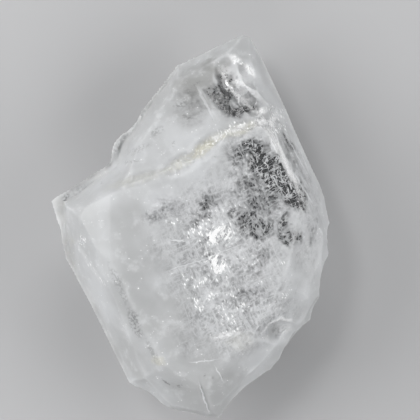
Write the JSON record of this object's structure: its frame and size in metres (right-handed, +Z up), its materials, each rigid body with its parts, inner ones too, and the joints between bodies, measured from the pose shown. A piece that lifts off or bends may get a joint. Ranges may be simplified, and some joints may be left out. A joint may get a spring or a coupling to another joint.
{
  "type": "phenakite crystal",
  "caption": "Loose clear to milky phenakite crystal: a short, broad six-sided prism with a slanted pointed top, a raised broad face and a chipped, rounded lower end.",
  "frame": {"origin": "under the middle of the bounding box, at the height of the flat back face the crystal rests on", "axes": "+Y along the crystal towards its pointed top, +Z up from the resting face to the broad front face, +X to the right seen from the front"},
  "size_m": [0.0172, 0.0236, 0.0094],
  "materials": {
    "phenakite": "natural crystal faces, clear in places and milky inside"
  },
  "bodies": {
    "root": {"crystal": "phenakite"}
  },
  "joints": []
}
